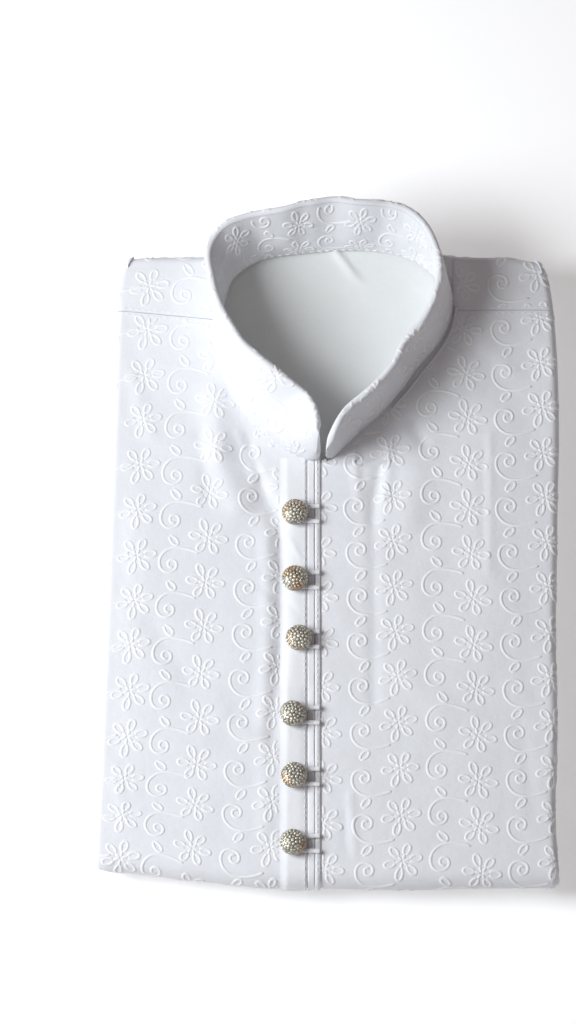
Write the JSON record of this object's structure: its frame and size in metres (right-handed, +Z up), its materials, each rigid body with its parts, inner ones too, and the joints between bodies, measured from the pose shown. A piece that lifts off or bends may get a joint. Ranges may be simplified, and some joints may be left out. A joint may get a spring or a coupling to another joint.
{
  "type": "folded shalwar kameez",
  "caption": "Folded white embroidered shalwar kameez with a standing band collar, open neck and a buttoned front placket, lying flat as a rectangular stack.",
  "frame": {"origin": "centre of the stack's footprint, on the surface it lies on", "axes": "+Z up out of the front of the kameez, +Y from the near fold to the collar, +X to the viewer's right"},
  "size_m": [0.2604, 0.392, 0.0657],
  "materials": {
    "embroidered_cotton": "white cotton with raised white chain-stitch embroidery, matte",
    "plain_cotton": "plain white cotton, matte",
    "facing_cloth": "smooth pressed off-white facing",
    "loop_cord": "white twisted cord",
    "antique_silver": "antique silver-gold with clear stones"
  },
  "bodies": {
    "root": {"kameez_front_left": "embroidered_cotton", "kameez_front_right": "embroidered_cotton", "kameez_back_yoke": "embroidered_cotton", "placket_button_stand": "plain_cotton", "placket_underlap": "plain_cotton", "placket_edge": "plain_cotton", "collar_outer": "embroidered_cotton", "collar_inner": "embroidered_cotton", "neck_facing": "facing_cloth", "kameez_folded_layers": "embroidered_cotton", "shalwar_folded": "plain_cotton", "button_1": "antique_silver", "button_2": "antique_silver", "button_3": "antique_silver", "button_4": "antique_silver", "button_5": "antique_silver", "button_6": "antique_silver", "button_loop_1": "loop_cord", "button_loop_2": "loop_cord", "button_loop_3": "loop_cord", "button_loop_4": "loop_cord", "button_loop_5": "loop_cord", "button_loop_6": "loop_cord"}
  },
  "joints": []
}
